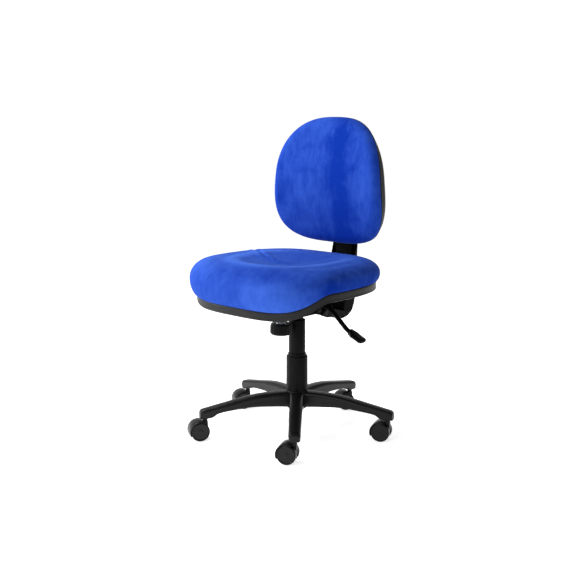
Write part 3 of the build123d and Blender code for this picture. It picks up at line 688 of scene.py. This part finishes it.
def back_pieces():
    pad = build("back_pad_cover", rings(([], []), back_pad_loops(), True, False), blue,
                "backrest", ["back_pad"])
    # Paints light and shade onto the back cover, lighter towards the top and darker towards the bottom.
    store_light_and_nap(pad, back_nap_and_light)
    build("back_rear_shell", rings(([], []), back_shell_loops(), False, False), shell_black,
          "backrest", ["back_shell"])


# ---------------------------------------------------------------- five-arm base

ARM_TOP = ((20, 136), (90, 134.5), (153, 129), (235, 113), (308, 98), (330, 93))  # mm from the axis, height
ARM_BELLY = ((20, 86), (80, 91), (150, 95), (215, 90), (262, 83), (284, 71), (330, 70))
ARM_TIP, NOSE_LENGTH = 320, 11  # mm
ARM_RADII = list(np.linspace(22, 300, 44)) + [304, 308, 311, 313.5, 315.5, 317.2, 318.6, 319.5, ARM_TIP]
ARM_RIBS = (72, 108, 144, 180, 216, 250)
SOCKET_EDGE = 276  # mm from the axis, where the hollow belly closes before the caster's socket
SOCKET_CENTRE = 302 * MM
SOCKET_COLLAR = ((5.6, 69.2), (8.6, 69.2), (9.2, 69.8), (9.2, 71), (5.6, 71))  # radius, height in mm
HUB = ((23.2, 81), (33.2, 81), (34.8, 82.6), (36, 120), (36.2, 134.6), (35.2, 136.6), (33.8, 137),
       (23.2, 137))


def spline(points, count):
    """Smooth curve through a few points (Catmull-Rom), evenly sampled by its first value."""
    p = np.array(points, float)
    p = np.vstack([2 * p[0] - p[1], p, 2 * p[-1] - p[-2]])
    out = []
    for i in range(1, len(p) - 2):
        for s in np.linspace(0, 1, 20, endpoint=i == len(p) - 3):
            out.append(0.5 * (2 * p[i] + (p[i + 1] - p[i - 1]) * s
                              + (2 * p[i - 1] - 5 * p[i] + 4 * p[i + 1] - p[i + 2]) * s * s
                              + (3 * p[i] - 3 * p[i + 1] + p[i + 2] - p[i - 1]) * s ** 3))
    return resample(out, count, closed=False)


def arm_half(r):
    """Half the width of an arm at a distance from the axis, in mm."""
    return np.interp(r, (20, 60, ARM_TIP), (25, 22, 18.5))


def arm_section(r, high, low):
    """Half outline (across, height) of an arm, in mm: crowned top, stepped side, lip and hollow belly."""
    nose = max(0.0, (r - (ARM_TIP - NOSE_LENGTH)) / NOSE_LENGTH)
    roll = 1 - sqrt(max(0.0, 1 - nose * nose))
    half = arm_half(r) - 6.5 * roll
    high -= 8 * roll
    deep = ease((SOCKET_EDGE - r) / 8)
    tall = high - low
    return [(0, high), (0.5 * half, high - 0.35), (0.72 * half, high - 1.3), (0.86 * half, high - 3.2),
            (0.95 * half, high - 6.4), (half, high - 11.5), (half - 0.9, high - 13.5),
            (half - 1.2, low + 0.35 * tall), (half - 1.2, low + 2), (half - 1.9, low + 0.5),
            (half - 3.2, low), (half - 4.4, low + 0.8), (half - 5.2, low + deep * (tall - 9)),
            (0.6 * half, low + deep * (tall - 5.5) + 0.02), (0, low + deep * (tall - 4.5) + 0.03)]


def add_arm(parts, angle, top, belly):
    """Adds one arm with the ribs in its belly and the collar of its caster socket."""
    ray, across = Vector((cos(angle), sin(angle), 0)), Vector((-sin(angle), cos(angle), 0))

    def place(s, z, w):
        return ray * w + across * (s * MM) + Vector((0, 0, z * MM))

    loops = []
    for r in ARM_RADII:
        section = arm_section(r, np.interp(r, top[:, 0], top[:, 1]), np.interp(r, belly[:, 0], belly[:, 1]))
        loop = section + [(-s, z) for s, z in section[-2:0:-1]]
        loops.append([place(s, z, r * MM) for s, z in loop])
    rings(parts, loops)
    for r in ARM_RIBS:
        low, high = np.interp(r, belly[:, 0], belly[:, 1]) + 4, np.interp(r, top[:, 0], top[:, 1]) - 5
        half = arm_half(r) - 4.6
        points = [(-half, low), (half, low), (half - 0.8, high - 3), (-half + 0.8, high - 3)]
        slab(parts, points, place, (r - 1.1) * MM, (r + 1.1) * MM, 0.3 * MM, 1)
    ring_body(parts, in_metres(SOCKET_COLLAR), ray * SOCKET_CENTRE, segments=32)


def base_piece():
    top, belly = spline(ARM_TOP, 80), spline(ARM_BELLY, 80)
    parts = ([], [])
    for k in range(1, 6):
        x, y, _ = joints[f"caster_swivel_{k}"]["pos_m"]
        add_arm(parts, atan2(y, x), top, belly)
    ring_body(parts, in_metres(HUB), (0, 0, 0), segments=96)
    build("base_star", parts, base_black, "base", ["star_base"])


# ---------------------------------------------------------------- lift sleeves and knob

SLEEVE_WALL, SLEEVE_DRAFT = 1.6 * MM, 0.5 * MM
CYLINDER_HOLE = 14.1 * MM
KNOB_RADIUS, KNOB_RIBS, KNOB_BORE = 33 * MM, 24, 5.2 * MM


def sleeve(name, node, body):
    """Telescoping sleeve with a rounded, inward lip, turned around the lift axis."""
    low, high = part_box(node)
    outer, top = high.x, high.z
    wall, draft = SLEEVE_WALL, SLEEVE_DRAFT
    profile = [(outer - wall, low.z), (outer, low.z), (outer, low.z + 1 * MM), (outer - draft, top - 4 * MM),
               (outer - draft - 0.4 * MM, top - 2.6 * MM), (outer - draft - 1.6 * MM, top - 0.9 * MM),
               (outer - 3 * MM, top), (outer - 4.2 * MM, top), (outer - 4.4 * MM, top - 0.6 * MM),
               (outer - wall - draft, top - 4 * MM)]
    parts = ring_body(([], []), profile, (0, 0, 0), segments=120)
    return build(name, parts, sleeve_black, body, [node])


def closed_sleeve(name, node, body):
    """Top sleeve, with a flat top that the cylinder passes through."""
    low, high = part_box(node)
    outer, top = high.x, high.z
    profile = [(outer - SLEEVE_WALL, low.z), (outer, low.z), (outer - 0.3 * MM, top - 3 * MM),
               (outer - 1.2 * MM, top - 1 * MM), (outer - 3 * MM, top), (CYLINDER_HOLE, top),
               (CYLINDER_HOLE, top - 1.8 * MM), (outer - 2.4 * MM, top - 2.4 * MM)]
    parts = ring_body(([], []), profile, (0, 0, 0), segments=120)
    return build(name, parts, sleeve_black, body, [node])


def knob_piece():
    """Ribbed tension knob with a cup in its top for the spring."""
    knob_low, knob_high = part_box("tension_knob")
    centre = ((knob_low.x + knob_high.x) / 2, (knob_low.y + knob_high.y) / 2, 0)
    low, high = knob_low.z, knob_high.z + 1 * MM

    def ripple(r, height, turn):
        inside = ease((height - low - 4 * MM) / (3 * MM)) * ease((high - 1 * MM - height) / (3 * MM))
        wave = max(0.0, cos(KNOB_RIBS * turn)) ** 0.6
        wavy = r + (1.5 * MM * wave - 0.3 * MM) * inside if r > 0.9 * KNOB_RADIUS else r
        return max(wavy, 1e-5)

    profile = [(0, low + 0.8 * MM), (18 * MM, low + 0.8 * MM), (19 * MM, low), (27 * MM, low),
               (29.5 * MM, low + 0.6 * MM), (32.2 * MM, low + 2.6 * MM), (33.4 * MM, low + 4.6 * MM),
               (33.5 * MM, low + 7 * MM)]
    profile += [(33.5 * MM - i * 0.12 * MM, low + (7 + 3 * i) * MM) for i in range(1, 8)]
    profile += [(32.3 * MM, high - 1.6 * MM), (31.4 * MM, high - 0.4 * MM), (30 * MM, high), (22 * MM, high),
                (21 * MM, high - 1 * MM), (21 * MM, low + 10 * MM), (KNOB_BORE, low + 10 * MM)]
    parts = turned(([], []), profile, centre, segments=360, ripple=ripple)
    build("tension_knob_grip", parts, grip_black, "knob", ["tension_knob"])


def column_pieces():
    sleeve("sleeve_lower", "cover_lower", "base")
    sleeve("sleeve_middle", "cover_middle", "middle_sleeve")
    closed_sleeve("sleeve_upper", "cover_upper", "lift")
    knob_piece()


# ---------------------------------------------------------------- casters

WHEEL_INNER, WHEEL_WIDTH = 8.5 * MM, 17 * MM
WHEEL = (  # radius, distance from the inner face, in mm
    (3.2, 0), (20, 0), (21, 0.6), (26.4, 0.6), (27.4, 0), (28.6, 0.3), (29.7, 1.5), (30, 3.2), (30, 12.6),
    (29.6, 14.8), (28.6, 16.3), (27, 17), (25.2, 17), (24.4, 16.4), (23.8, 15.4), (22.6, 15), (12, 15.6),
    (9.4, 15.9), (8.8, 16.6), (7.6, 17), (0, 17),
)
HOOD_START, HOOD_SWEEP, HOOD_STEPS = -24, 140, 28  # degrees round the axle
HOOD_INNER, HOOD_OUTER = 30.7, 33.6  # mm from the axle
HOOD_WEB = ((-28, -4), (-12, -9), (4, -14), (14, -8), (22, 6), (24, 20), (16, 28.5), (0, 31.5), (-14, 31),
            (-27.4, 33))
STEM_BOSS = ((7.2, 40), (7.4, 50), (7.6, 64), (7.2, 66.2), (6.2, 67))  # radius, height in mm


def hood_loops(axle, axis, trail, up):
    """Loops of the hood over both wheels, along its arc."""
    loops = []
    for step in range(HOOD_STEPS + 1):
        turn = radians(HOOD_START + HOOD_SWEEP * step / HOOD_STEPS)
        ends = min(step, HOOD_STEPS - step)
        half = WHEEL_INNER + WHEEL_WIDTH - (1.6 * MM if ends == 0 else 0.4 * MM if ends == 1 else 0)
        side = [(half - 1.6 * MM, HOOD_OUTER), (half - 0.5 * MM, 33.2), (half, 32.3), (half, HOOD_INNER)]
        section = [(-a, r) for a, r in reversed(side)] + side
        loops.append([axle + axis * a + (trail * cos(turn) + up * sin(turn)) * (r * MM) for a, r in section])
    return loops


def caster_pieces(k):
    roll = joints[f"left_roll_{k}"]
    stem, axle = Vector(joints[f"caster_swivel_{k}"]["pos_m"]), Vector(roll["pos_m"])
    axis, up = Vector(roll["axis"]), Vector((0, 0, 1))
    trail = Vector((axle.x - stem.x, axle.y - stem.y, 0)).normalized()
    profile = [(r * MM, WHEEL_INNER + w * MM) for r, w in WHEEL]
    for side, sign in (("left", 1), ("right", -1)):
        parts = turned(([], []), profile, axle, axis * sign, trail, 72)
        build(f"caster_wheel_{side}_{k}", parts, wheel_black, f"{side}_wheel_{k}",
              [f"wheel_{side}_{k}"])
    parts = rings(([], []), hood_loops(axle, axis, trail, up))
    web = rounded(HOOD_WEB, 6, 4)
    slab(parts, in_metres(web), lambda u, v, w: axle + trail * u + up * v + axis * w,
         -8.1 * MM, 8.1 * MM, 1.6 * MM)
    turned(parts, in_metres(STEM_BOSS), (stem.x, stem.y, 0), segments=40)
    build(f"caster_hood_{k}", parts, base_black, f"caster_{k}", [f"caster_body_{k}"])


# ---------------------------------------------------------------- levers and bar cover

ANGLE_BAR = ((70.5, 410.8), (84, 404), (150, 346), (176, 334), (182, 331.2))  # x, z in mm
ANGLE_GRIP = ((163, 341), (217, 316.6))
HEIGHT_BAR = ((4, 449), (-70, 449), (-128, 402), (-150, 392), (-156, 389.3))
HEIGHT_GRIP = ((-146, 393.8), (-194.5, 371.8))
BAR_LEAN = tan(radians(3))
BAR_FOOT = 245, 600  # y and z in mm of a point on the middle of the leaning upright
COVER_HALF = 13  # mm, half its depth


def paddle(parts, start, tip, half_width, half_thick):
    """Moulded grip: a flattened, slightly waisted form along a line in the XZ plane."""
    start, tip = Vector(start), Vector(tip)
    along = tip - start
    length = along.length
    along.normalize()
    across = Vector((0, 1, 0))
    normal = across.cross(along)
    loops = []
    for s in np.linspace(0, 1, 26):
        end = sqrt(max(0.0, 1 - max(0.0, (s - 0.86) / 0.14) ** 2))
        neck = 0.5 + 0.5 * ease(s / 0.34)
        half = half_width * neck * (0.25 + 0.75 * end)
        thick = half_thick * (1.0 - 0.35 * ease(s / 0.6)) * (0.3 + 0.7 * end)
        loop = []
        for j in range(36):
            turn = 2 * pi * j / 36
            loop.append(start + along * (s * length) + across * (half * power(cos(turn), 0.62))
                        + normal * (thick * power(sin(turn), 0.7)))
        loops.append(loop)
    return rings(parts, loops)


def lever(name, y, bar, bend, bar_radius, grip, half_width, half_thick):
    """Bent bar with a moulded grip, both on the body called name."""
    path = rounded(bar, bend, 8, closed=False)
    parts = tube(([], []), [(u * MM, y, v * MM) for u, v in path], bar_radius, 24)
    short = name.split("_")[0]
    build(f"{name}_bar", parts, black_paint, name, [f"{short}_bar"])
    start, tip = [(u * MM, y, v * MM) for u, v in grip]
    parts = paddle(([], []), start, tip, half_width, half_thick)
    build(f"{name}_grip", parts, grip_black, name, [f"{short}_paddle"])


def lever_pieces():
    low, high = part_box("angle_bar")
    lever("angle_lever", (low.y + high.y) / 2, ANGLE_BAR, 12, 7.2 * MM, ANGLE_GRIP, 18.5 * MM, 10.5 * MM)
    lever("height_lever", 0, HEIGHT_BAR, 14, 4.4 * MM, HEIGHT_GRIP, 13 * MM, 6 * MM)


def cover_piece():
    """Moulded cover of the back bar: a curved foot under the seat and a leaning upright."""
    low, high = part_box("bar_cover")

    def upright(z, offset):
        return BAR_FOOT[0] + (z - BAR_FOOT[1]) * BAR_LEAN + offset, z

    corners = [(178, 347), (206, 351), (230, 365), (243, 392), upright(430, COVER_HALF),
               upright(622, COVER_HALF), upright(622, -COVER_HALF), upright(470, -COVER_HALF),
               (214, 438), (178, 424)]
    points = rounded(corners, [3, 12, 14, 14, 20, 1.5, 1.5, 16, 16, 4], 6)

    def place(u, v, w):
        return Vector((w, u, v))

    parts = slab(([], []), in_metres(points), place, low.x, high.x, 4 * MM, 5)
    for sign in (-1, 1):
        slab(parts, in_metres(inset_loop(points, 6)), place, sign * high.x - 0.5 * MM,
             sign * high.x + 0.45 * MM, 0.4 * MM, 2)
    build("upright_cover", parts, cover_black, "back_arm", ["bar_cover"])


KNOB_LINE = -75 * MM  # y of the knob's and the spring's axis
WIRE = 2.4 * MM
COIL_TURNS, COIL_STEPS = 41 / 9, 170


def spring_piece():
    """Tilt spring between the knob's cup and the pan."""
    low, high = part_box("tilt_spring")
    centre = (low + high) / 2
    radius = (high.x - low.x) / 2 - WIRE
    start, rise = low.z + WIRE, high.z - low.z - 2 * WIRE
    path = []
    for i in range(COIL_STEPS + 1):
        turn = 2 * pi * COIL_TURNS * i / COIL_STEPS
        path.append((centre.x + radius * cos(turn), KNOB_LINE + radius * sin(turn),
                     start + rise * i / COIL_STEPS))
    parts = tube(([], []), path, WIRE, 12)
    piece = build("tilt_coil", parts, zinc, "lift", ["tilt_spring"])
    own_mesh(piece)


seat_pieces()
back_pieces()
base_piece()
column_pieces()
spring_piece()
for number in range(1, 6):
    caster_pieces(number)
lever_pieces()
cover_piece()

# ---------------------------------------------------------------- floor, light and camera

VIEW_TURN, VIEW_RISE, VIEW_DISTANCE = radians(42), radians(10.67), 3.06
AIM_HEIGHT = 0.458
AIM_LEFT = 17.7 * MM
LENS = 59.7
OVERHEAD_FADE = 0.12, 0.34, 1.02, 0.34  # start and end of the fade, then the brightness at each
SIDE_FADE = 0.32, 0.75, 1.0, 0.5
FLOOR_HALF = 40


def floor_piece():
    """Wide pale floor under the chair."""
    mesh = bpy.data.meshes.new("floor")
    half = FLOOR_HALF
    corners = [(-half, -half, 0), (half, -half, 0), (half, half, 0), (-half, half, 0)]
    mesh.from_pydata(corners, [], [(0, 1, 2, 3)])
    ground = bpy.data.objects.new("floor", mesh)
    bpy.context.scene.collection.objects.link(ground)
    pale = Nodes("floor_pale", (0.86, 0.86, 0.86), 0.8, Specular_IOR_Level=0.1, Emission_Strength=0.72)
    pale.bsdf.inputs["Emission Color"].default_value = (1, 1, 1, 1)
    mesh.materials.append(pale.material)


def world_light(right):
    """White near the horizon, dimmer overhead and towards one side."""
    world = bpy.data.worlds.new("studio")
    world.use_nodes = True
    tree = world.node_tree
    place = tree.nodes.new("ShaderNodeTexCoord").outputs["Generated"]

    def fade(direction, low, high, start, end):
        along = tree.nodes.new("ShaderNodeVectorMath")
        along.operation = "DOT_PRODUCT"
        along.inputs[1].default_value = direction
        tree.links.new(place, along.inputs[0])
        level = tree.nodes.new("ShaderNodeMapRange")
        for index, value in enumerate((low, high, start, end)):
            level.inputs[index + 1].default_value = value
        tree.links.new(along.outputs["Value"], level.inputs[0])
        return level.outputs[0]

    product = tree.nodes.new("ShaderNodeMath")
    product.operation = "MULTIPLY"
    tree.links.new(fade((0, 0, 1), *OVERHEAD_FADE), product.inputs[0])
    tree.links.new(fade(right, *SIDE_FADE), product.inputs[1])
    tree.links.new(product.outputs[0], tree.nodes["Background"].inputs["Strength"])
    tree.nodes["Background"].inputs["Color"].default_value = (1, 1, 1, 1)
    bpy.context.scene.world = world


def studio():
    right = Vector((cos(VIEW_TURN), sin(VIEW_TURN), 0))
    floor_piece()
    world_light(right)
    away = Vector((-sin(VIEW_TURN), cos(VIEW_TURN), 0))

    def lamp(name, place, watts, size, aim=(0, 0, 0.5)):
        light = bpy.data.lights.new(name, "AREA")
        light.energy, light.size = watts, size
        holder = bpy.data.objects.new(name, light)
        spot = right * place[0] + away * place[1] + Vector((0, 0, place[2]))
        holder.location = spot
        holder.rotation_euler = (Vector(aim) - spot).to_track_quat("-Z", "Y").to_euler()
        bpy.context.scene.collection.objects.link(holder)

    lamp("key", (-1.6, -2.1, 1.5), 26, 1.4)
    lamp("side", (-2.3, 0.3, 1.0), 26, 0.8)
    lamp("top", (-1.5, 0.7, 2.4), 66, 1.2, (-0.1, -0.1, 0.5))

    back = Vector((sin(VIEW_TURN) * cos(VIEW_RISE), -cos(VIEW_TURN) * cos(VIEW_RISE), sin(VIEW_RISE)))
    camera = bpy.data.cameras.new("camera")
    camera.lens = LENS
    camera.sensor_width = 36
    eye = bpy.data.objects.new("camera", camera)
    eye.location = Vector((0, 0, AIM_HEIGHT)) + back * VIEW_DISTANCE - right * AIM_LEFT
    eye.rotation_euler = (-back).to_track_quat("-Z", "Y").to_euler()
    bpy.context.scene.collection.objects.link(eye)
    bpy.context.scene.camera = eye


studio()
bpy.context.scene.view_settings.view_transform = "Standard"
